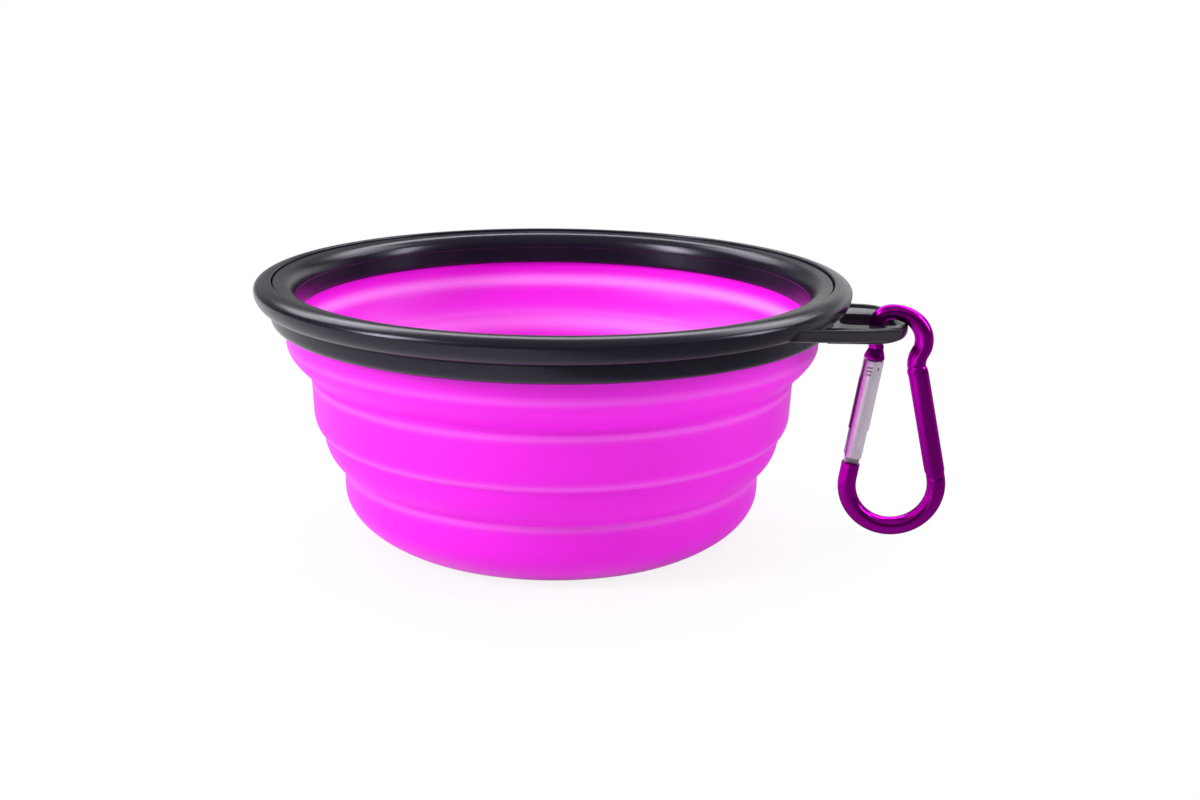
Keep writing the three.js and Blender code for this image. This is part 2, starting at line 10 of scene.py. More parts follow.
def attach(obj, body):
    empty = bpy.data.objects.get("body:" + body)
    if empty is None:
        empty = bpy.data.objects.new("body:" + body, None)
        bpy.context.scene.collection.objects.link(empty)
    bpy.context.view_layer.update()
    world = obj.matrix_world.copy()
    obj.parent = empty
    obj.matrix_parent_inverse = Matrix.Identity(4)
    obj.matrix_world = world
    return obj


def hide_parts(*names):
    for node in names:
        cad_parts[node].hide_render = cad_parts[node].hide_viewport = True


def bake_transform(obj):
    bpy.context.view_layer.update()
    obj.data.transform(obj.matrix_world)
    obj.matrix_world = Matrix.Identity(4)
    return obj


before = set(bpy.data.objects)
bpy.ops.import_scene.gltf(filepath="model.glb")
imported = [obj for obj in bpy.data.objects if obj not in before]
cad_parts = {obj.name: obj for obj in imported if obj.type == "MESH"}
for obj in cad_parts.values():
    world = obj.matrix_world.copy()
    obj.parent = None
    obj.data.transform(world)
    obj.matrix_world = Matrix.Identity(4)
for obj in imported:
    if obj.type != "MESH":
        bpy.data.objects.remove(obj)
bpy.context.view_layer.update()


# Silicone bowl: one thin moulding of soft magenta silicone, with two folds between three stiff bands.
# It is moulded in one shot. Here it is cut in two across the middle band.
MM = 0.001
BOWL_SIDES = 160
TURNED_SHARP = 50
SAME_POINT = 1e-4
SPLIT_LEVEL = 32.0
SPLIT_RADIUS = 52.846
SILICONE_WALL = 2.0
SPLIT_BORE = SPLIT_RADIUS - SILICONE_WALL
UPPER_RADIUS = 58.0
UPPER_BORE = UPPER_RADIUS - SILICONE_WALL
FLANGE_RADIUS = 60.3
FLANGE_BOTTOM = 50.9
FLANGE_TOP = 52.4
BASE_RADIUS = 46.4
BASE_BORE = BASE_RADIUS - SILICONE_WALL
BASE_FLOOR = 2.4
FLOOR_RING = 20.0
SILICONE_COLOUR = (0.85, 0.012, 0.78, 1.0)
SILICONE_DEEP = (0.82, 0.010, 0.75, 1.0)
# The colour of the painted highlights along the creases
SILICONE_HIGHLIGHT = (1.0, 0.38, 0.97, 1.0)
SILICONE_SHINE = 0.22


def bend(start, corner, end, steps):
    """Points on a curve from start to end that is drawn towards corner."""
    points = []
    for i in range(steps + 1):
        t = i / steps
        weights = ((1 - t) ** 2, 2 * t * (1 - t), t * t)
        x = weights[0] * start[0] + weights[1] * corner[0] + weights[2] * end[0]
        y = weights[0] * start[1] + weights[1] * corner[1] + weights[2] * end[1]
        points.append((x, y))
    return points


def run(start, end, steps):
    """Points on a straight line, both ends included."""
    points = []
    for i in range(steps + 1):
        t = i / steps
        points.append((start[0] + (end[0] - start[0]) * t, start[1] + (end[1] - start[1]) * t))
    return points


def joined(*stretches):
    """Stretches of points as one line, without the points that two of them share."""
    line = []
    for stretch in stretches:
        for point in stretch:
            if not line or math.dist(point, line[-1]) > SAME_POINT:
                line.append(point)
    return line


def finished(name, body, sharp_degrees):
    """A bmesh as an object in the scene, shaded smooth between its sharp edges."""
    bmesh.ops.recalc_face_normals(body, faces=body.faces)
    mesh = bpy.data.meshes.new(name)
    body.to_mesh(mesh)
    body.free()
    mesh.shade_smooth()
    mesh.set_sharp_from_angle(angle=math.radians(sharp_degrees))
    piece = bpy.data.objects.new(name, mesh)
    bpy.context.scene.collection.objects.link(piece)
    return piece


def revolved(section, sides, scale, highlights=None):
    """A solid of revolution about Z, as a bmesh. Its section is a closed line of (radius, height),
    or one that starts and ends on the axis. The last argument gives each of its points the strength of a
    painted highlight."""
    body = bmesh.new()
    highlight_layer = body.verts.layers.float.new("painted_highlight")
    rings = []
    for number, (radius, height) in enumerate(section):
        ring = []
        for k in range(sides if radius > 0 else 1):
            angle = 2 * math.pi * k / sides
            x = radius * scale * math.cos(angle)
            y = radius * scale * math.sin(angle)
            corner = body.verts.new((x, y, height * scale))
            corner[highlight_layer] = highlights[number] if highlights else 0.0
            ring.append(corner)
        rings.append(ring)
    if len(rings[0]) > 1:
        rings.append(rings[0])
    for low, high in zip(rings, rings[1:]):
        for k in range(sides):
            after = (k + 1) % sides
            if len(low) == 1:
                body.faces.new((low[0], high[after], high[k]))
            elif len(high) == 1:
                body.faces.new((low[k], low[after], high[0]))
            else:
                body.faces.new((low[k], low[after], high[after], high[k]))
    return body


def turned(name, section, sides, highlights=None):
    """A solid of revolution in the scene. Its section is in millimetres."""
    return finished(name, revolved(section, sides, MM, highlights), TURNED_SHARP)


def painted_highlight(section, highlight_bands):
    """How strong the painted highlight is at each point. The second argument gives the height, half width and
    strength of each painted highlight band along a crease.
    """
    found = []
    for _, height in section:
        nearest = 0.0
        for level, half_width, strength in highlight_bands:
            nearest = max(nearest, strength * math.exp(-(((height - level) / half_width) ** 2)))
        found.append(nearest)
    return found


upper_outside = joined(
    run((UPPER_RADIUS, FLANGE_BOTTOM), (UPPER_RADIUS, 43.0), 14),
    bend((UPPER_RADIUS, 43.0), (UPPER_RADIUS, 40.2), (53.05, 36.3), 18),
    bend((53.05, 36.3), (52.8, 36.0), (53.1, 35.3), 4),
    bend((53.1, 35.3), (53.12, 34.6), (52.94, 34.0), 6),
    run((52.94, 34.0), (SPLIT_RADIUS, SPLIT_LEVEL), 5),
)
upper_inside = joined(
    run((SPLIT_BORE, SPLIT_LEVEL), (50.98, 35.6), 9),
    bend((50.98, 35.6), (51.0, 36.3), (51.4, 36.75), 4),
    bend((51.4, 36.75), (UPPER_BORE, 40.6), (UPPER_BORE, 44.0), 18),
    run((UPPER_BORE, 44.0), (UPPER_BORE, FLANGE_TOP), 14),
)
flange = [(FLANGE_RADIUS, FLANGE_TOP), (FLANGE_RADIUS, FLANGE_BOTTOM)]
upper_section = joined(upper_inside, flange, upper_outside)
# Painted highlights: the silicone is made paler in soft bands along its creases, where they catch the light.
# Inside, the bands are wider and stronger.
upper_highlights = painted_highlight(upper_inside, [(43.9, 1.3, 0.95), (33.8, 2.3, 0.80)])
upper_highlights += [0.0 for _ in flange]
upper_highlights += painted_highlight(upper_outside, [(42.9, 0.75, 0.16), (34.4, 0.75, 0.19)])
silicone_upper = turned("silicone_upper", upper_section, BOWL_SIDES, upper_highlights)

# The lower half's section runs up its outside from the underside, and down its inside to the floor
lower_outside = joined(
    run((SPLIT_RADIUS, SPLIT_LEVEL), (52.7, 28.0), 4),
    bend((52.7, 28.0), (52.7, 24.25), (50.75, 23.1), 14),
    bend((50.75, 23.1), (50.6, 22.9), (50.6, 22.5), 3),
    bend((50.6, 22.5), (50.6, 17.7), (46.45, 14.7), 16),
    bend((46.45, 14.7), (46.25, 14.4), (46.5, 13.8), 4),
    bend((46.5, 13.8), (46.52, 13.2), (BASE_RADIUS, 12.6), 6),
    run((BASE_RADIUS, 12.6), (BASE_RADIUS, 9.4), 6),
    bend((BASE_RADIUS, 9.4), (BASE_RADIUS, 4.3), (39.6, 0.4), 14),
    bend((39.6, 0.4), (38.9, 0.0), (38.0, 0.0), 3),
)[::-1]
lower_inside = joined(
    bend((36.0, BASE_FLOOR), (BASE_BORE, 3.9), (BASE_BORE, 9.4), 12),
    run((BASE_BORE, 9.4), (BASE_BORE, 14.1), 4),
    bend((BASE_BORE, 14.1), (BASE_BORE, 14.7), (44.8, 15.1), 4),
    bend((44.8, 15.1), (48.6, 18.0), (48.6, 23.0), 14),
    bend((48.6, 23.0), (50.7, 24.25), (50.7, 28.0), 12),
    run((50.7, 28.0), (SPLIT_BORE, SPLIT_LEVEL), 3),
)[::-1]
underside = [(0.0, 0.0), (FLOOR_RING, 0.0)]
inner_floor = [(FLOOR_RING, BASE_FLOOR), (0.0, BASE_FLOOR)]
lower_section = joined(underside, lower_outside, lower_inside, inner_floor)
# Painted highlights along the lower half's creases, faint outside and stronger inside, and none on the
# underside or the floor.
lower_highlights = [0.0 for _ in underside]
lower_highlights += painted_highlight(lower_outside, [(24.1, 0.75, 0.19), (13.9, 0.75, 0.20)])
lower_highlights += painted_highlight(lower_inside, [(33.8, 2.3, 0.80), (23.4, 1.0, 0.5), (15.0, 1.0, 0.5)])
lower_highlights += [0.0 for _ in inner_floor]
silicone_lower = turned("silicone_lower", lower_section, BOWL_SIDES, lower_highlights)


def linked(tree, source, output, target, entry):
    """A link from one node's output to another's input."""
    tree.links.new(source.outputs[output], target.inputs[entry])


# The moulded skin group gives the uneven gloss and the fine grain that a mould or a tumbler leaves
GRAIN_DETAIL = 3.0
GLOSS_DETAIL = 4.0
NOISE_LOW = 0.3
NOISE_HIGH = 0.7
skin_group = bpy.data.node_groups.new("moulded_skin", "ShaderNodeTree")
for entry, usual in (("Grain Scale", 1500.0), ("Gloss Scale", 60.0), ("Smoothest", 0.3), ("Roughest", 0.5)):
    made = skin_group.interface.new_socket(name=entry, in_out="INPUT", socket_type="NodeSocketFloat")
    made.default_value = usual
for result in ("Roughness", "Height", "Mottle"):
    skin_group.interface.new_socket(name=result, in_out="OUTPUT", socket_type="NodeSocketFloat")
skin_in = skin_group.nodes.new("NodeGroupInput")
skin_out = skin_group.nodes.new("NodeGroupOutput")
skin_place = skin_group.nodes.new("ShaderNodeTexCoord")
skin_grain = skin_group.nodes.new("ShaderNodeTexNoise")
skin_grain.inputs["Detail"].default_value = GRAIN_DETAIL
skin_gloss = skin_group.nodes.new("ShaderNodeTexNoise")
skin_gloss.inputs["Detail"].default_value = GLOSS_DETAIL
skin_range = skin_group.nodes.new("ShaderNodeMapRange")
skin_range.inputs["From Min"].default_value = NOISE_LOW
skin_range.inputs["From Max"].default_value = NOISE_HIGH
linked(skin_group, skin_place, "Object", skin_grain, "Vector")
linked(skin_group, skin_place, "Object", skin_gloss, "Vector")
linked(skin_group, skin_in, "Grain Scale", skin_grain, "Scale")
linked(skin_group, skin_in, "Gloss Scale", skin_gloss, "Scale")
linked(skin_group, skin_gloss, "Fac", skin_range, "Value")
linked(skin_group, skin_in, "Smoothest", skin_range, "To Min")
linked(skin_group, skin_in, "Roughest", skin_range, "To Max")
linked(skin_group, skin_range, "Result", skin_out, "Roughness")
linked(skin_group, skin_grain, "Fac", skin_out, "Height")
linked(skin_group, skin_gloss, "Fac", skin_out, "Mottle")


def skinned(name, grain_scale, gloss_scale, smoothest, roughest, bump_strength, bump_depth):
    """A material whose gloss and bump come from the moulded skin group."""
    material = bpy.data.materials.new(name)
    material.use_nodes = True
    tree = material.node_tree
    shader = tree.nodes["Principled BSDF"]
    skin = tree.nodes.new("ShaderNodeGroup")
    skin.node_tree = skin_group
    skin.inputs["Grain Scale"].default_value = grain_scale
    skin.inputs["Gloss Scale"].default_value = gloss_scale
    skin.inputs["Smoothest"].default_value = smoothest
    skin.inputs["Roughest"].default_value = roughest
    bump = tree.nodes.new("ShaderNodeBump")
    bump.inputs["Strength"].default_value = bump_strength
    bump.inputs["Distance"].default_value = bump_depth * MM
    linked(tree, skin, "Roughness", shader, "Roughness")
    linked(tree, skin, "Height", bump, "Height")
    linked(tree, bump, "Normal", shader, "Normal")
    return material, tree, shader, skin


def mixed(tree, factor_node, factor_output, colour_a, colour_b):
    """A node that mixes two colours by another node's output. The first may be a node that gives a colour."""
    mix = tree.nodes.new("ShaderNodeMix")
    mix.data_type = "RGBA"
    if isinstance(colour_a, tuple):
        mix.inputs["A"].default_value = colour_a
    else:
        linked(tree, colour_a, "Result", mix, "A")
    mix.inputs["B"].default_value = colour_b
    linked(tree, factor_node, factor_output, mix, "Factor")
    return mix


silicone, tree, shader, skin = skinned(
    "magenta_silicone",
    grain_scale=2200.0,
    gloss_scale=45.0,
    smoothest=0.40,
    roughest=0.52,
    bump_strength=0.15,
    bump_depth=0.03,
)
# The base colour is a random mottle of two magentas, with the painted crease highlights laid over it from
# each point's highlight layer.
highlight_attribute = tree.nodes.new("ShaderNodeAttribute")
highlight_attribute.attribute_name = "painted_highlight"
silicone_body = mixed(tree, skin, "Mottle", SILICONE_DEEP, SILICONE_COLOUR)
silicone_highlighted = mixed(tree, highlight_attribute, "Fac", silicone_body, SILICONE_HIGHLIGHT)
linked(tree, silicone_highlighted, "Result", shader, "Base Color")
shader.inputs["Specular IOR Level"].default_value = SILICONE_SHINE
for piece in (silicone_upper, silicone_lower):
    piece.data.materials.append(silicone)
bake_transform(silicone_upper)
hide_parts("upper_wall", "upper_fold", "middle_tier")
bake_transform(silicone_lower)
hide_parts("middle_tier", "lower_fold", "base_cup")


# Skirt: the lower ring of the rim, a charcoal moulding that carries the silicone's flange.
# It is pushed on from below and bonded to the bead.
RIM_SIDES = 160
SKIRT_RADIUS = 61.1
SKIRT_BORE = 58.3
SKIRT_BOTTOM = 46.8
CHARCOAL = (0.0078, 0.0066, 0.0125, 1.0)
CHARCOAL_WORN = (0.0105, 0.0090, 0.0160, 1.0)
CHARCOAL_SHINE = 0.4
CHARCOAL_SHINE_TINT = (0.86, 0.80, 1.0, 1.0)

skirt_section = joined(
    run((SKIRT_BORE, SKIRT_BOTTOM), (58.7, SKIRT_BOTTOM), 1),
    bend((58.7, SKIRT_BOTTOM), (SKIRT_RADIUS, SKIRT_BOTTOM), (SKIRT_RADIUS, 49.2), 10),
    run((SKIRT_RADIUS, 49.2), (SKIRT_RADIUS, 50.6), 2),
    bend((SKIRT_RADIUS, 50.6), (SKIRT_RADIUS, FLANGE_BOTTOM), (60.8, FLANGE_BOTTOM), 3),
    run((60.8, FLANGE_BOTTOM), (SKIRT_BORE, FLANGE_BOTTOM), 2),
)
rim_skirt = turned("rim_skirt", skirt_section, RIM_SIDES)

charcoal, tree, shader, skin = skinned(
    "charcoal_plastic",
    grain_scale=1400.0,
    gloss_scale=70.0,
    smoothest=0.20,
    roughest=0.27,
    bump_strength=0.10,
    bump_depth=0.015,
)
charcoal_mix = mixed(tree, skin, "Mottle", CHARCOAL, CHARCOAL_WORN)
linked(tree, charcoal_mix, "Result", shader, "Base Color")
shader.inputs["Specular IOR Level"].default_value = CHARCOAL_SHINE
shader.inputs["Specular Tint"].default_value = CHARCOAL_SHINE_TINT
rim_skirt.data.materials.append(charcoal)
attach(rim_skirt, "rim")
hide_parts("lower_ring")


# Tab: a flat loop with a slot and raised side ribs, for the carabiner.
# It is one moulding with the skirt and grows out of its wall.
TAB_TOP = 47.9
TAB_BOTTOM = 45.4
TAB_ROOT_RADIUS = 59.6
TAB_SHOULDER = 67.7
TAB_NOSE = 9.0
TAB_HALF_WIDTH = 13.6
TAB_ROOT_HALF = 14.2
TAB_STATIONS = 96
TAB_SHARP = 60
RIB_RISE = 0.8
RIB_END = 76.2
RIB_FADE = 5.0
RIB_ROOM = 5.0
SLOT_START = 62.4
SLOT_END = 73.8
SLOT_MIDDLE = (SLOT_START + SLOT_END) / 2
SLOT_HALF = 5.4
SLOT_CORNER = 2.0
SLOT_LIP = 0.9
LIP_START = 0.3
LIP_FULL = 0.8
OUTLINE_STEP = 0.02


def eased(value, low, high):
    """0 below low, 1 above high, and smooth between them."""
    t = min(1.0, max(0.0, (value - low) / (high - low)))
    return t * t * (3 - 2 * t)


def inside_tab(x, y):
    """Whether a point lies inside the tab's outline, which ends in the skirt's wall."""
    if math.hypot(x, y) < TAB_ROOT_RADIUS:
        return False
    if x > TAB_SHOULDER:
        return ((x - TAB_SHOULDER) / TAB_NOSE) ** 2 + (y / TAB_HALF_WIDTH) ** 2 < 1
    share = (TAB_SHOULDER - x) / (TAB_SHOULDER - TAB_ROOT_RADIUS)
    return abs(y) < TAB_HALF_WIDTH + (TAB_ROOT_HALF - TAB_HALF_WIDTH) * share


def inside_slot(x, y):
    """Whether a point lies in the slot, a rectangle with round corners."""
    across = abs(x - SLOT_MIDDLE) - ((SLOT_END - SLOT_START) / 2 - SLOT_CORNER)
    along = abs(y) - (SLOT_HALF - SLOT_CORNER)
    return math.hypot(max(across, 0), max(along, 0)) + min(max(across, along), 0) < SLOT_CORNER


def way_out(inside, middle, angle, reach, step):
    """How far out a ray leaves an outline. It starts on the X axis, at x = middle, and is
    followed from reach in steps."""
    while inside(middle + reach * math.cos(angle), reach * math.sin(angle)):
        reach += step
    return reach


def bridged(body, rings):
    """Faces from each ring of points to the next."""
    for here, there in zip(rings, rings[1:]):
        for k in range(len(here)):
            after = (k + 1) % len(here)
            body.faces.new((here[k], here[after], there[after], there[k]))


def capped(body, rings):
    """Faces from each ring of points to the next, and over both ends."""
    bridged(body, rings)
    body.faces.new(rings[0])
    body.faces.new(rings[-1])


tab_body = bmesh.new()
tab_rings = []
for station in range(TAB_STATIONS):
    angle = 2 * math.pi * station / TAB_STATIONS
    near = way_out(inside_slot, SLOT_MIDDLE, angle, 0.0, OUTLINE_STEP)
    far = way_out(inside_tab, SLOT_MIDDLE, angle, 0.0, OUTLINE_STEP)
    direction = (math.cos(angle), math.sin(angle))
    rib = RIB_RISE * eased(RIB_END - (SLOT_MIDDLE + far * direction[0]), 0.0, RIB_FADE)
    room = min(1.0, (far - near) / RIB_ROOM)
    lip = SLOT_LIP * eased(direction[1], LIP_START, LIP_FULL)
    profile = [
        (near, TAB_BOTTOM + 0.5 - lip),
        (near, TAB_TOP - 0.5),
        (near + 0.15, TAB_TOP - 0.15),
        (near + 0.5, TAB_TOP),
        (far - 2.3 * room, TAB_TOP),
        (far - 1.9 * room, TAB_TOP + 0.35 * rib),
        (far - 1.55 * room, TAB_TOP + 0.85 * rib),
        (far - 1.1 * room, TAB_TOP + rib),
        (far - 0.6 * room, TAB_TOP + 0.95 * rib - 0.05),
        (far - 0.2 * room, TAB_TOP + 0.6 * rib - 0.25),
        (far, TAB_TOP - 0.8),
        (far, TAB_BOTTOM + 0.9),
        (far - 0.25, TAB_BOTTOM + 0.3),
        (far - 0.9, TAB_BOTTOM),
        (near + 0.6, TAB_BOTTOM - lip),
        (near + 0.15, TAB_BOTTOM + 0.15 - lip),
    ]
    ring = []
    for reach, height in profile:
        x = SLOT_MIDDLE + reach * direction[0]
        y = reach * direction[1]
        ring.append(tab_body.verts.new((x * MM, y * MM, height * MM)))
    tab_rings.append(ring)
bridged(tab_body, tab_rings + tab_rings[:1])
rim_tab = finished("rim_tab", tab_body, TAB_SHARP)

# On the near side a web fills the corner between the tab and the bead. Its raised edge is a straight bar
# that leaves the bead's side at a tangent and runs down into the tab's nose
BEAD_RADIUS = 64.4
WEB_START = 8.05
WEB_TANGENT = 37.9
WEB_END = 42.0
WEB_TUCK = 2.0
WEB_STEPS = 70
WEB_OUTLINE_STEP = 0.05
WEB_ROOT_RADIUS = 60.9
WEB_OVERLAP = 1.0
WEB_LEAST_WIDTH = 2.2
WEB_TOP = 48.3
WEB_BOTTOM = 45.6
WEB_CLIMB = 0.195
WEB_SINK = 0.9
WEB_ROUND = 1.0
BAR_ROUND = 0.9
BAR_CREST = 1.6
BAR_WIDTH = 1.9
web_body = bmesh.new()
web_rings = []
for step in range(WEB_STEPS + 1):
    degrees = WEB_START + (WEB_END - WEB_START) * step / WEB_STEPS
    before_tangent = math.radians(max(0.0, WEB_TANGENT - degrees))
    outer = BEAD_RADIUS / math.cos(before_tangent) - WEB_TUCK * eased(degrees, WEB_TANGENT - 1.0, WEB_END)
    slope = math.radians(degrees)
    tab_side = way_out(inside_tab, 0.0, slope, WEB_ROOT_RADIUS, WEB_OUTLINE_STEP)
    inner = max(WEB_ROOT_RADIUS, min(tab_side - WEB_OVERLAP, outer - WEB_LEAST_WIDTH))
    climb = WEB_CLIMB * (degrees - WEB_START)
    top = WEB_TOP + climb
    bottom = WEB_BOTTOM + climb
    section = joined(
        [(inner, bottom)],
        bend((outer - WEB_ROUND, bottom), (outer, bottom), (outer, bottom + WEB_ROUND), 5),
        bend((outer, top - BAR_ROUND), (outer, top), (outer - BAR_ROUND, top), 6),
        bend((outer - BAR_ROUND, top), (outer - BAR_CREST, top), (outer - BAR_WIDTH, top - WEB_SINK), 4),
        [(inner, top - WEB_SINK)],
    )
    ring = []
    for radius, height in section:
        x = radius * math.cos(slope)
        y = -radius * math.sin(slope)
        ring.append(web_body.verts.new((x * MM, y * MM, height * MM)))
    web_rings.append(ring)
capped(web_body, web_rings)
near_web = finished("tab_web", web_body, TAB_SHARP)
for piece in (rim_tab, near_web):
    piece.data.materials.append(charcoal)
    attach(piece, "rim")
    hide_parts("lower_ring")


# Bead: the round outer ring of the rim, a charcoal moulding that the hand holds.
# It stands on the skirt outside the silicone's flange.
BEAD_BORE = 60.65
BEAD_LEVEL = 54.4


def oval(centre, half_x, half_y, start_degrees, end_degrees, steps):
    """Points on an upright ellipse from one angle to another."""
    points = []
    for i in range(steps + 1):
        angle = math.radians(start_degrees + (end_degrees - start_degrees) * i / steps)
        points.append((centre[0] + half_x * math.cos(angle), centre[1] + half_y * math.sin(angle)))
    return points


bead_section = joined(
    run((BEAD_BORE, FLANGE_BOTTOM), (61.3, FLANGE_BOTTOM), 2),
    oval((61.4, BEAD_LEVEL), 3.0, 3.5, -90, 0, 18),
    oval((61.2, BEAD_LEVEL), 3.2, 1.9, 0, 95, 22),
    bend((60.92, 56.29), (60.66, 56.28), (BEAD_BORE, 56.0), 4),
    run((BEAD_BORE, 56.0), (BEAD_BORE, FLANGE_BOTTOM), 4),
)
rim_bead = turned("rim_bead", bead_section[:-1], RIM_SIDES)
rim_bead.data.materials.append(charcoal)
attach(rim_bead, "rim")
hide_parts("bead_ring")


# Liner: the funnel-shaped inner ring of the rim, a charcoal moulding.
# It lies on the silicone's flange, inside the bead, and hides the silicone's edge.
LINER_RADIUS = 60.35
LINER_BOTTOM = 48.45

liner_section = joined(
    run((LINER_RADIUS, FLANGE_TOP), (LINER_RADIUS, 55.6), 4),
    bend((LINER_RADIUS, 55.6), (LINER_RADIUS, 55.85), (60.1, 55.82), 4),
    run((60.1, 55.82), (58.6, 55.62), 4),
    bend((58.6, 55.62), (56.23, 55.30), (55.75, 52.5), 18),
    run((55.75, 52.5), (55.12, 48.8), 5),
    bend((55.12, 48.8), (55.1, LINER_BOTTOM), (55.35, LINER_BOTTOM), 4),
    run((55.35, LINER_BOTTOM), (55.6, LINER_BOTTOM), 1),
    run((55.6, LINER_BOTTOM), (55.7, FLANGE_TOP), 4),
    run((55.7, FLANGE_TOP), (LINER_RADIUS, FLANGE_TOP), 3),
)
rim_liner = turned("rim_liner", liner_section[:-1], RIM_SIDES)
rim_liner.data.materials.append(charcoal)
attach(rim_liner, "rim")
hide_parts("liner_ring")


# Carabiner frame: a bent aluminium rod, anodised glossy purple, that hooks through the tab's slot.
# Its spine is pressed a little flat between two crisp steps, and its nose flares to meet the gate.
CARABINER_Y = -3.0
ROD_SIDES = 32
ROD_SHARP = 55
GATE_LEAN = math.radians(8.0)
SPINE_LEAN = math.radians(13.3)
RIVET = (66.989807, 19.769882)
ROD_END = -3.4
BOW_END = -6.8
NOSE_FOOT = 20.6
NOSE_ROOT = 23.0
BOW_CENTRE = (75.55, 11.7)
BOW_RADIUS = 9.6
BOW_LAST_DEGREES = -188
HOOK_TOP = (73.2, 50.35)
HOOK_SIDE = (80.05, 44.15)
HOOK_SHOULDER = 3.6
NOSE_LEAD = (-1.3, 4.3)
NECK = (78.85, 39.4)
NECK_RUN = 3.0
ROD = 3.95
HOOK_ROD = 3.3
NOSE_ROD = 3.1
GATE_ROD = 4.4
SPINE_WIDTH = 4.3
SPINE_DEPTH = 3.7
FLARE_START = 0.4
FLARE_SPARE = 0.6
STEP_RUN = 0.5
STEP_ROUND = 1.3
NECK_CREASE = 0.6
NECK_ROUND = 0.3
GROOVE_DEPTH = 0.13
GROOVE_WIDTH = 0.28
PURPLE = (0.58, 0.002, 0.54, 1.0)
PURPLE_LIGHT = (0.64, 0.004, 0.60, 1.0)
PURPLE_SHINE_TINT = (0.25, 0.10, 0.25, 1.0)
ANODISING_GLOSS = 0.06
ANODISING_ROUGHNESS = 0.18


def on_gate(height):
    """A point on the gate's axis, at a height above the rivet along it."""
    return (RIVET[0] + height * math.sin(GATE_LEAN), RIVET[1] + height * math.cos(GATE_LEAN))


def cubic(start, lead, follow, end, steps):
    """Points on a cubic curve."""
    points = []
    for i in range(steps + 1):
        t = i / steps
        a = (1 - t) ** 3
        b = 3 * t * (1 - t) ** 2
        c = 3 * t * t * (1 - t)
        d = t ** 3
        x = a * start[0] + b * lead[0] + c * follow[0] + d * end[0]
        y = a * start[1] + b * lead[1] + c * follow[1] + d * end[1]
        points.append((x, y))
    return points


def length_of(line):
    """How long a line of points is."""
    return sum(math.dist(a, b) for a, b in zip(line, line[1:]))


spine_up = (-math.sin(SPINE_LEAN), math.cos(SPINE_LEAN))
spine_foot = (BOW_CENTRE[0] + BOW_RADIUS * spine_up[1], BOW_CENTRE[1] - BOW_RADIUS * spine_up[0])
spine_length = (NECK[1] - NECK_RUN - spine_foot[1]) / spine_up[1]
spine_head = (spine_foot[0] + spine_length * spine_up[0], spine_foot[1] + spine_length * spine_up[1])
spine_lead = (spine_head[0] + NECK_RUN / 2 * spine_up[0], spine_head[1] + NECK_RUN / 2 * spine_up[1])
nose = on_gate(NOSE_FOOT)
nose_root = on_gate(NOSE_ROOT)
nose_lead = (nose_root[0] + NOSE_LEAD[0], nose_root[1] + NOSE_LEAD[1])
hook_lead = (HOOK_TOP[0] - HOOK_SHOULDER, HOOK_TOP[1])
neck_rise = (HOOK_SIDE[1] - NECK[1]) / 2
stretches = [
    run(nose, nose_root, 8),
    cubic(nose_root, nose_lead, hook_lead, HOOK_TOP, 20),
    oval((HOOK_TOP[0], HOOK_SIDE[1]), HOOK_SIDE[0] - HOOK_TOP[0], HOOK_TOP[1] - HOOK_SIDE[1], 90, 0, 20),
    cubic(HOOK_SIDE, (HOOK_SIDE[0], HOOK_SIDE[1] - neck_rise), (NECK[0], NECK[1] + neck_rise), NECK, 12),
    cubic(NECK, (NECK[0], NECK[1] - NECK_RUN / 2), spine_lead, spine_head, 24),
    run(spine_head, spine_foot, 200),
    oval(BOW_CENTRE, BOW_RADIUS, BOW_RADIUS, math.degrees(SPINE_LEAN), BOW_LAST_DEGREES, 150),
    run(on_gate(BOW_END), on_gate(ROD_END), 4),
]
ends = []
total = 0.0
for stretch in stretches:
    total += length_of(stretch)
    ends.append(total)
nose_end, rise_end, hook_end, neck_start, _, spine_end = ends[:6]
rod_line = joined(*stretches)


def rod_halves(along, angle):
    """Half width and half depth of the rod at a length along it, at an angle round it.
    The pressed stretch of the spine has round ends, which reach furthest at the front and the back."""
    if along < nose_end:
        flare = min(1.0, max(0.0, (along - FLARE_START) / (nose_end - FLARE_SPARE)))
        half = (GATE_ROD + (NOSE_ROD - GATE_ROD) * flare) / 2
        return half, half
    hook = NOSE_ROD + (HOOK_ROD - NOSE_ROD) * eased(along, nose_end, rise_end)
    half = (hook + (ROD - hook) * eased(along, rise_end, hook_end)) / 2
    inset = STEP_ROUND * (1 - abs(math.sin(angle)))
    press_start = neck_start + NECK_CREASE + NECK_ROUND * inset
    press_end = spine_end - inset
    pressed = eased(along, press_start, press_start + STEP_RUN)
    pressed -= eased(along, press_end - STEP_RUN, press_end)
    width = half + (SPINE_WIDTH / 2 - half) * pressed
    depth = half + (SPINE_DEPTH / 2 - half) * pressed
    groove = 0.0
    for level in (press_start, press_end):
        groove += GROOVE_DEPTH * math.exp(-(((along - level) / GROOVE_WIDTH) ** 2))
    return width - groove, depth - groove


rod_body = bmesh.new()
rod_rings = []
along = 0.0
for number, point in enumerate(rod_line):
    before = rod_line[max(number - 1, 0)]
    after = rod_line[min(number + 1, len(rod_line) - 1)]
    along += math.dist(point, before)
    tangent = Vector((after[0] - before[0], 0, after[1] - before[1])).normalized()
    side = Vector((tangent.z, 0, -tangent.x))
    ring = []
    for k in range(ROD_SIDES):
        angle = 2 * math.pi * k / ROD_SIDES
        half_width, half_depth = rod_halves(along, angle)
        across = half_depth * math.sin(angle)
        offset = side * (half_width * math.cos(angle))
        place = Vector((point[0], CARABINER_Y, point[1])) + offset + Vector((0, across, 0))
        ring.append(rod_body.verts.new(place * MM))
    rod_rings.append(ring)
capped(rod_body, rod_rings)
carabiner = finished("carabiner_rod", rod_body, ROD_SHARP)

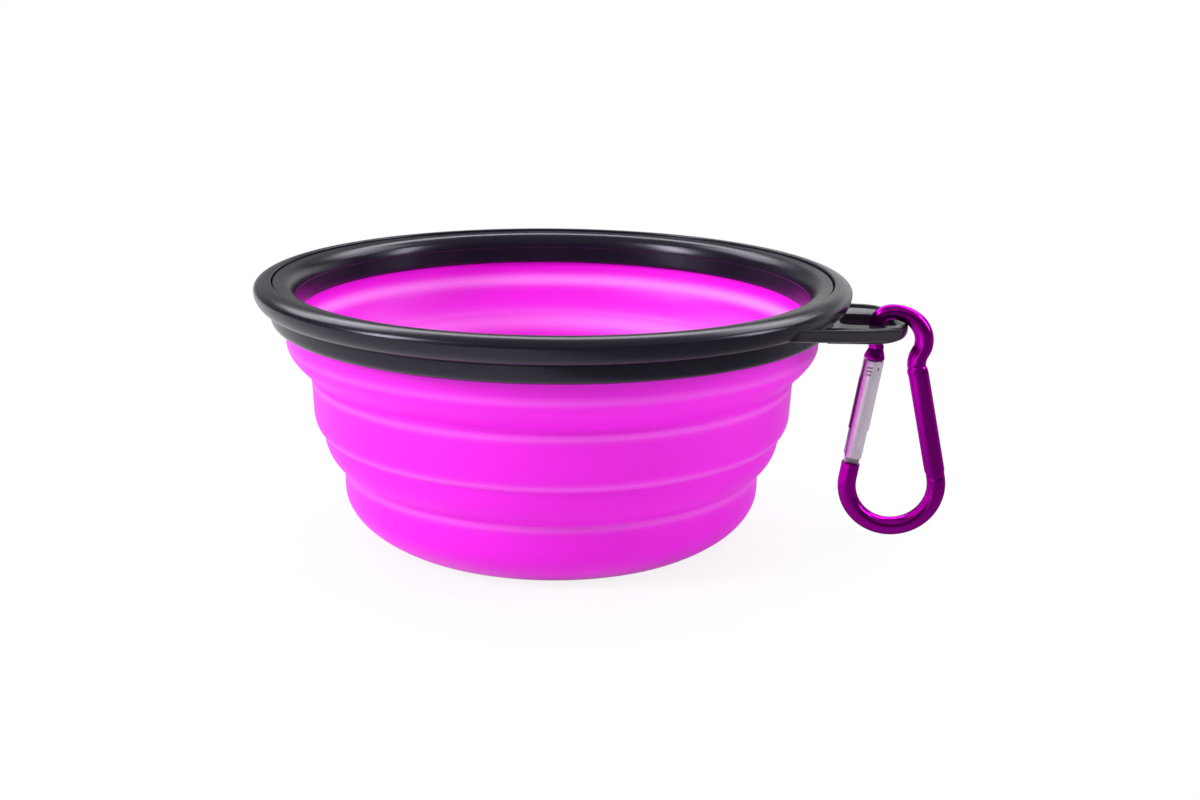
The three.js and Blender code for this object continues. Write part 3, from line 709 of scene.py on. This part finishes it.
purple, tree, shader, skin = skinned(
    "purple_anodising",
    grain_scale=2600.0,
    gloss_scale=40.0,
    smoothest=0.20,
    roughest=0.25,
    bump_strength=0.02,
    bump_depth=0.01,
)
purple_mix = mixed(tree, skin, "Mottle", PURPLE, PURPLE_LIGHT)
linked(tree, purple_mix, "Result", shader, "Base Color")
shader.inputs["Metallic"].default_value = 1.0
shader.inputs["Specular Tint"].default_value = PURPLE_SHINE_TINT
shader.inputs["Coat Weight"].default_value = ANODISING_GLOSS
shader.inputs["Coat Roughness"].default_value = ANODISING_ROUGHNESS
carabiner.data.materials.append(purple)
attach(carabiner, "carabiner")
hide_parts("carabiner_frame")


# Tongue: the bare end of the frame's rod, pressed flat, that the gate's fork straddles, and the nose's blade.
# Both are the same aluminium as the frame, left bright where the anodising is cut through.
GATE_SHARP = 40
TONGUE_THICKNESS = 1.8
TONGUE_EDGE = 0.25
BLADE_THICKNESS = 1.3
BLADE_EDGE = 0.15
BLADE_LIP_EDGE = 0.12
SILVER_DULL = (0.72, 0.68, 0.74, 1.0)
SILVER_BRIGHT = (0.86, 0.83, 0.87, 1.0)


def gate_block(low, high, thickness, edge):
    """A block with round edges in the gate's frame, from its low to its high corner there, as a bmesh."""
    body = bmesh.new()
    bmesh.ops.create_cube(body, size=1.0)
    size = Vector((high[0] - low[0], thickness, high[1] - low[1]))
    middle = Vector(((high[0] + low[0]) / 2, 0, (high[1] + low[1]) / 2))
    bmesh.ops.transform(body, matrix=Matrix.Diagonal((*size, 1)), verts=body.verts)
    bmesh.ops.translate(body, vec=middle, verts=body.verts)
    if edge:
        bmesh.ops.bevel(body, geom=body.edges[:], offset=edge, segments=3, profile=0.5, affect="EDGES")
    return body


gate_place = (
    Matrix.Translation(Vector((RIVET[0], CARABINER_Y, RIVET[1])) * MM)
    @ Matrix.Rotation(GATE_LEAN, 4, "Y")
    @ Matrix.Scale(MM, 4)
)


def placed(name, body):
    """A bmesh of the gate's frame, put in its place as an object."""
    bmesh.ops.transform(body, matrix=gate_place, verts=body.verts)
    return finished(name, body, GATE_SHARP)


tongue = placed("carabiner_tongue", gate_block((-1.6, -5.0), (1.6, 1.6), TONGUE_THICKNESS, TONGUE_EDGE))
blade = placed("carabiner_blade", gate_block((-1.7, 16.7), (-0.1, 21.8), BLADE_THICKNESS, BLADE_EDGE))
lip_body = gate_block((-0.9, 16.7), (0.4, 17.5), BLADE_THICKNESS, BLADE_LIP_EDGE)
blade_lip = placed("carabiner_blade_lip", lip_body)

silver, tree, shader, skin = skinned(
    "bright_aluminium",
    grain_scale=1800.0,
    gloss_scale=160.0,
    smoothest=0.28,
    roughest=0.38,
    bump_strength=0.05,
    bump_depth=0.01,
)
silver_mix = mixed(tree, skin, "Mottle", SILVER_DULL, SILVER_BRIGHT)
linked(tree, silver_mix, "Result", shader, "Base Color")
shader.inputs["Metallic"].default_value = 1.0
for piece in (tongue, blade, blade_lip):
    piece.data.materials.append(silver)
    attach(piece, "carabiner")


# Gate: a bright aluminium tube that turns on its rivet, with a fork at the foot and a latch slot at the nose.
# It is turned, bored and slotted. Its front and back are bare and bright, and its flanks, which face left and
# right, are coloured dark purple.
GATE_SIDES = 48
GATE_FOOT = -1.9
GATE_TOP = 20.3
GATE_RADIUS = 2.2
GATE_ROUND = 0.3
BORE_SIDES = 32
BORE_RADIUS = 1.35
BORE_START = -6.0
BORE_END = 13.6
FORK_GAP = 2.4
LATCH_GAP = 1.9
GRIPS = 3
GRIP_START = 17.0
GRIP_SPACING = 0.8
GRIP_HEIGHT = 0.4
GRIP_DEPTH = 1.1
BARE_DULL = (0.84, 0.79, 0.88, 1.0)
BARE_BRIGHT = (0.94, 0.90, 0.97, 1.0)
BARE_METALLIC = 0.55
FLANK_PURPLE = (0.10, 0.002, 0.095, 1.0)
OUTER_FLANK = (-0.86, -0.64)
INNER_FLANK = (0.86, 0.95)


def cut(piece, cutters):
    """Takes the cutters out of a piece, and deletes them."""
    for number, cutter in enumerate(cutters):
        modifier = piece.modifiers.new("cut_%d" % number, "BOOLEAN")
        modifier.operation = "DIFFERENCE"
        modifier.solver = "EXACT"
        modifier.object = cutter
    graph = bpy.context.evaluated_depsgraph_get()
    mesh = bpy.data.meshes.new_from_object(piece.evaluated_get(graph))
    piece.modifiers.clear()
    piece.data = mesh
    mesh.shade_smooth()
    mesh.set_sharp_from_angle(angle=math.radians(GATE_SHARP))
    for cutter in cutters:
        bpy.data.objects.remove(cutter)


gate_shoulder = GATE_RADIUS - GATE_ROUND
gate_section = joined(
    [(0.0, GATE_FOOT)],
    run((1.0, GATE_FOOT), (gate_shoulder, GATE_FOOT), 2),
    bend((gate_shoulder, GATE_FOOT), (GATE_RADIUS, GATE_FOOT), (GATE_RADIUS, GATE_FOOT + GATE_ROUND), 4),
    run((GATE_RADIUS, GATE_FOOT + GATE_ROUND), (GATE_RADIUS, GATE_TOP - GATE_ROUND), 12),
    bend((GATE_RADIUS, GATE_TOP - GATE_ROUND), (GATE_RADIUS, GATE_TOP), (gate_shoulder, GATE_TOP), 4),
    [(0.0, GATE_TOP)],
)
bore_section = [(0.0, BORE_START), (BORE_RADIUS, BORE_START), (BORE_RADIUS, BORE_END), (0.0, BORE_END)]
gate = placed("gate_tube", revolved(gate_section, GATE_SIDES, 1.0))
bore = placed("gate_bore", revolved(bore_section, BORE_SIDES, 1.0))
fork = placed("gate_fork", gate_block((-4.4, -6.3), (4.4, 4.5), FORK_GAP, 0))
latch = placed("gate_latch", gate_block((-4.4, 16.1), (1.6, 24.7), LATCH_GAP, 0))
grips = []
for number in range(GRIPS):
    level = GRIP_START + GRIP_SPACING * number
    grip = gate_block((-1.6, level), (-0.2, level + GRIP_HEIGHT), GRIP_DEPTH, 0)
    bmesh.ops.translate(grip, vec=(0, -GATE_RADIUS, 0), verts=grip.verts)
    grips.append(placed("gate_grip_%d" % number, grip))
cut(gate, [bore, fork, latch] + grips)


def ranged(tree, source, output, low, high, to_low, to_high):
    """A node that turns one range of values smoothly into another."""
    node = tree.nodes.new("ShaderNodeMapRange")
    node.interpolation_type = "SMOOTHSTEP"
    node.inputs["From Min"].default_value = low
    node.inputs["From Max"].default_value = high
    node.inputs["To Min"].default_value = to_low
    node.inputs["To Max"].default_value = to_high
    linked(tree, source, output, node, "Value")
    return node


def worked_out(tree, operation, first, second):
    """A node that works out one value from two. Each of them is a node and its output."""
    node = tree.nodes.new("ShaderNodeMath")
    node.operation = operation
    linked(tree, *first, node, 0)
    linked(tree, *second, node, 1)
    return node


gate_skin, tree, shader, skin = skinned(
    "bared_aluminium",
    grain_scale=1800.0,
    gloss_scale=160.0,
    smoothest=0.30,
    roughest=0.40,
    bump_strength=0.05,
    bump_depth=0.01,
)
gate_bare = mixed(tree, skin, "Mottle", BARE_DULL, BARE_BRIGHT)
# The flanks, where the surface faces left or right, are coloured dark purple.
place = tree.nodes.new("ShaderNodeTexCoord")
facing = tree.nodes.new("ShaderNodeSeparateXYZ")
linked(tree, place, "Normal", facing, "Vector")
outer_flank = ranged(tree, facing, "X", *OUTER_FLANK, 1.0, 0.0)
inner_flank = ranged(tree, facing, "X", *INNER_FLANK, 0.0, 1.0)
flanks = worked_out(tree, "MAXIMUM", (outer_flank, "Result"), (inner_flank, "Result"))
gate_mix = mixed(tree, flanks, "Value", gate_bare, FLANK_PURPLE)
linked(tree, gate_mix, "Result", shader, "Base Color")
shader.inputs["Metallic"].default_value = BARE_METALLIC
gate.data.materials.append(gate_skin)
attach(gate, "gate_body")
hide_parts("gate")


# Small steel pieces in the gate: the latch pin, the plunger and the coil spring, and the aluminium rivet.
# They are drawn wire and turned pins, pressed or laid in place.
STEEL_DULL = (0.36, 0.36, 0.38, 1.0)
STEEL_BRIGHT = (0.52, 0.52, 0.55, 1.0)
steel, tree, shader, skin = skinned(
    "drawn_steel",
    grain_scale=2400.0,
    gloss_scale=200.0,
    smoothest=0.22,
    roughest=0.38,
    bump_strength=0.10,
    bump_depth=0.015,
)
steel_mix = mixed(tree, skin, "Mottle", STEEL_DULL, STEEL_BRIGHT)
linked(tree, steel_mix, "Result", shader, "Base Color")
shader.inputs["Metallic"].default_value = 1.0
for node, material in (("latch_pin", steel), ("gate_plunger", steel), ("gate_rivet", silver)):
    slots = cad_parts[node].data.materials
    slots.clear()
    slots.append(material)

# The coil stands in the gate's bore.
SPRING_WIRE = 0.36
SPRING_RADIUS = 0.97
SPRING_TURNS = 9
SPRING_FOOT = 5.48
SPRING_TOP = 13.12
WIRE_SIDES = 10
TURN_STEPS = 24
coil_body = bmesh.new()
coil_rings = []
for station in range(SPRING_TURNS * TURN_STEPS + 1):
    angle = 2 * math.pi * station / TURN_STEPS
    outward = Vector((math.cos(angle), math.sin(angle), 0))
    height = SPRING_FOOT + (SPRING_TOP - SPRING_FOOT) * station / (SPRING_TURNS * TURN_STEPS)
    middle = outward * SPRING_RADIUS + Vector((0, 0, height))
    ring = []
    for k in range(WIRE_SIDES):
        turn = 2 * math.pi * k / WIRE_SIDES
        around = outward * math.cos(turn) + Vector((0, 0, math.sin(turn)))
        ring.append(coil_body.verts.new(middle + around * SPRING_WIRE / 2))
    coil_rings.append(ring)
capped(coil_body, coil_rings)
coil = placed("gate_coil", coil_body)
coil.data.materials.append(steel)
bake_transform(coil)
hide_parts("gate_spring")


# Floor: a plain white paper sweep, laid flat, that takes the bowl's soft shadow.
# It shows white to the camera, and only near the bowl does the shadow darken it.
# In reflections it is bright on the left and behind, and falls off to the right, most of all in front.
FLOOR_SIZE = 3.0
FLOOR_SHARP = 30
FLOOR_LEVEL = -0.00005
FLOOR_COLOUR = (0.9, 0.9, 0.9, 1.0)
FLOOR_ROUGHNESS = 0.9
FLOOR_SHADOW_SHARE = 0.16
FLOOR_SHADOW_START = 0.045
FLOOR_SHADOW_REACH = 0.085
FRONT_FALL = (-0.02, 0.07)
FRONT_RIGHT = 0.17
BACK_FALL = (-0.02, 0.14)
BACK_RIGHT = 0.45
FRONT_TO_BACK = (-0.06, 0.10)
floor_body = bmesh.new()
bmesh.ops.create_grid(floor_body, x_segments=4, y_segments=4, size=FLOOR_SIZE)
bmesh.ops.translate(floor_body, vec=(0, 0, FLOOR_LEVEL), verts=floor_body.verts)
floor = finished("floor", floor_body, FLOOR_SHARP)
floor_white = bpy.data.materials.new("floor_white")
floor_white.use_nodes = True
tree = floor_white.node_tree
shader = tree.nodes["Principled BSDF"]
shader.inputs["Base Color"].default_value = FLOOR_COLOUR
shader.inputs["Roughness"].default_value = FLOOR_ROUGHNESS
shader.inputs["Specular IOR Level"].default_value = 0.0
glow = tree.nodes.new("ShaderNodeEmission")
path = tree.nodes.new("ShaderNodeLightPath")
place = tree.nodes.new("ShaderNodeTexCoord")


def chosen(tree, choice, output, otherwise, chosen_value):
    """A node that gives one value where the choice is 0 and the other where it is 1.
    Each value is a number or a node and its output."""
    node = tree.nodes.new("ShaderNodeMix")
    linked(tree, choice, output, node, "Factor")
    for entry, value in (("A", otherwise), ("B", chosen_value)):
        if isinstance(value, tuple):
            linked(tree, *value, node, entry)
        else:
            node.inputs[entry].default_value = value
    return node


spot = tree.nodes.new("ShaderNodeSeparateXYZ")
linked(tree, place, "Object", spot, "Vector")
front = ranged(tree, spot, "X", *FRONT_FALL, 1.0, FRONT_RIGHT)
back = ranged(tree, spot, "X", *BACK_FALL, 1.0, BACK_RIGHT)
depth = ranged(tree, spot, "Y", *FRONT_TO_BACK, 0.0, 1.0)
sheet = chosen(tree, depth, "Result", (front, "Result"), (back, "Result"))
brightness = chosen(tree, path, "Is Camera Ray", (sheet, "Result"), 1.0)
linked(tree, brightness, "Result", glow, "Strength")
seen = worked_out(tree, "MAXIMUM", (path, "Is Camera Ray"), (path, "Is Glossy Ray"))
distance = tree.nodes.new("ShaderNodeVectorMath")
distance.operation = "LENGTH"
linked(tree, place, "Object", distance, "Vector")
unshaded = 1.0 - FLOOR_SHADOW_SHARE
clear = ranged(tree, distance, "Value", FLOOR_SHADOW_START, FLOOR_SHADOW_REACH, unshaded, 1.0)
share = worked_out(tree, "MULTIPLY", (seen, "Value"), (clear, "Result"))
floor_mix = tree.nodes.new("ShaderNodeMixShader")
linked(tree, share, "Value", floor_mix, "Fac")
linked(tree, shader, "BSDF", floor_mix, 1)
linked(tree, glow, "Emission", floor_mix, 2)
linked(tree, floor_mix, "Shader", tree.nodes["Material Output"], "Surface")
floor.data.materials.append(floor_white)


# Studio: a white sweep behind the bowl in a dim room, with tall softboxes on both sides and three behind.
# The camera sees plain white. Reflections see the sweep, which is brighter on the right, and the dim room.
# Soft light from the room's ceiling reaches into the bowl.
CEILING_LIGHT = 0.80
HORIZON_LIGHT = 0.08
CEILING_SPAN = (0.0, 0.9)
DIM_ROOM = 0.05
OVERHEAD = 0.28
OVERHEAD_SPAN = (0.35, 0.75)
SWEEP_LEFT = 0.30
SWEEP_RIGHT = 0.90
SWEEP_WIDTH = (-0.25, 0.25)
SWEEP_BEHIND = (0.35, 0.85)
SWEEP_TOP = (0.22, 0.40)
SOFTBOX_DISTANCE = 0.85
SOFTBOX_AIM = Vector((0, 0, 0.03))
world = bpy.data.worlds.new("studio")
bpy.context.scene.world = world
world.use_nodes = True
tree = world.node_tree
background = tree.nodes["Background"]
background.inputs["Color"].default_value = (1.0, 1.0, 1.0, 1.0)
path = tree.nodes.new("ShaderNodeLightPath")
place = tree.nodes.new("ShaderNodeTexCoord")
spot = tree.nodes.new("ShaderNodeSeparateXYZ")
linked(tree, place, "Generated", spot, "Vector")
sweep_side = ranged(tree, spot, "X", *SWEEP_WIDTH, SWEEP_LEFT, SWEEP_RIGHT)
behind = ranged(tree, spot, "Y", *SWEEP_BEHIND, 0.0, 1.0)
low_down = ranged(tree, spot, "Z", *SWEEP_TOP, 1.0, 0.0)
overhead = ranged(tree, spot, "Z", *OVERHEAD_SPAN, DIM_ROOM, OVERHEAD)
sweep = worked_out(tree, "MULTIPLY", (behind, "Result"), (low_down, "Result"))
room = chosen(tree, sweep, "Value", (overhead, "Result"), (sweep_side, "Result"))
ceiling = ranged(tree, spot, "Z", *CEILING_SPAN, HORIZON_LIGHT, CEILING_LIGHT)
indirect = chosen(tree, path, "Is Glossy Ray", (ceiling, "Result"), (room, "Result"))
seen = worked_out(tree, "MAXIMUM", (path, "Is Camera Ray"), (path, "Is Transmission Ray"))
strength = chosen(tree, seen, "Value", (indirect, "Result"), 1.0)
linked(tree, strength, "Result", background, "Strength")


def away_from_bowl(azimuth_degrees, elevation_degrees):
    """A direction away from the bowl. Azimuth 0 is in front of the bowl and 90 on its right."""
    azimuth = math.radians(azimuth_degrees)
    elevation = math.radians(elevation_degrees)
    level = math.cos(elevation)
    return Vector((math.sin(azimuth) * level, -math.cos(azimuth) * level, math.sin(elevation)))


def softbox(name, azimuth_degrees, elevation_degrees, width, height, brightness):
    """A large soft lamp that faces the bowl."""
    lamp = bpy.data.lights.new(name, "AREA")
    lamp.shape = "RECTANGLE"
    lamp.size = width
    lamp.size_y = height
    lamp.energy = brightness * math.pi * width * height
    away = away_from_bowl(azimuth_degrees, elevation_degrees)
    holder = bpy.data.objects.new(name, lamp)
    bpy.context.scene.collection.objects.link(holder)
    holder.location = SOFTBOX_AIM + away * SOFTBOX_DISTANCE
    holder.rotation_mode = "QUATERNION"
    holder.rotation_quaternion = (-away).to_track_quat("-Z", "Y")


softbox("left_softbox", -59, 30, width=0.20, height=0.42, brightness=20.0)
softbox("right_softbox", 88, 26, width=0.15, height=0.36, brightness=12.5)
softbox("back_left_softbox", -125, 42, width=0.36, height=0.40, brightness=4.5)
softbox("back_softbox", 180, 47, width=1.00, height=0.24, brightness=5.0)
softbox("back_right_softbox", 125, 42, width=0.36, height=0.40, brightness=3.5)


# Camera: a plain lens a little above the rim, turned slightly towards the tab.
# Its place, lens and shift were fitted to the edges of the rim and the base.
CAMERA_AZIMUTH = 6.5
CAMERA_ELEVATION = 15.91
CAMERA_DISTANCE = 0.3094
CAMERA_ROLL = math.radians(0.471)
LOOK_AT = Vector((0, 0, 0.02709))
camera_data = bpy.data.cameras.new("camera")
camera_data.sensor_width = 36.0
camera_data.lens = 41.29
camera_data.shift_x = 0.04014
camera_data.clip_start = 0.01
camera = bpy.data.objects.new("camera", camera_data)
bpy.context.scene.collection.objects.link(camera)
camera_back = away_from_bowl(CAMERA_AZIMUTH, CAMERA_ELEVATION)
camera.location = LOOK_AT + camera_back * CAMERA_DISTANCE
camera.rotation_mode = "QUATERNION"
camera_turn = (-camera_back).to_track_quat("-Z", "Y")
camera.rotation_quaternion = camera_turn @ Matrix.Rotation(CAMERA_ROLL, 3, "Z").to_quaternion()
bpy.context.scene.camera = camera
bpy.context.scene.view_settings.view_transform = "Standard"
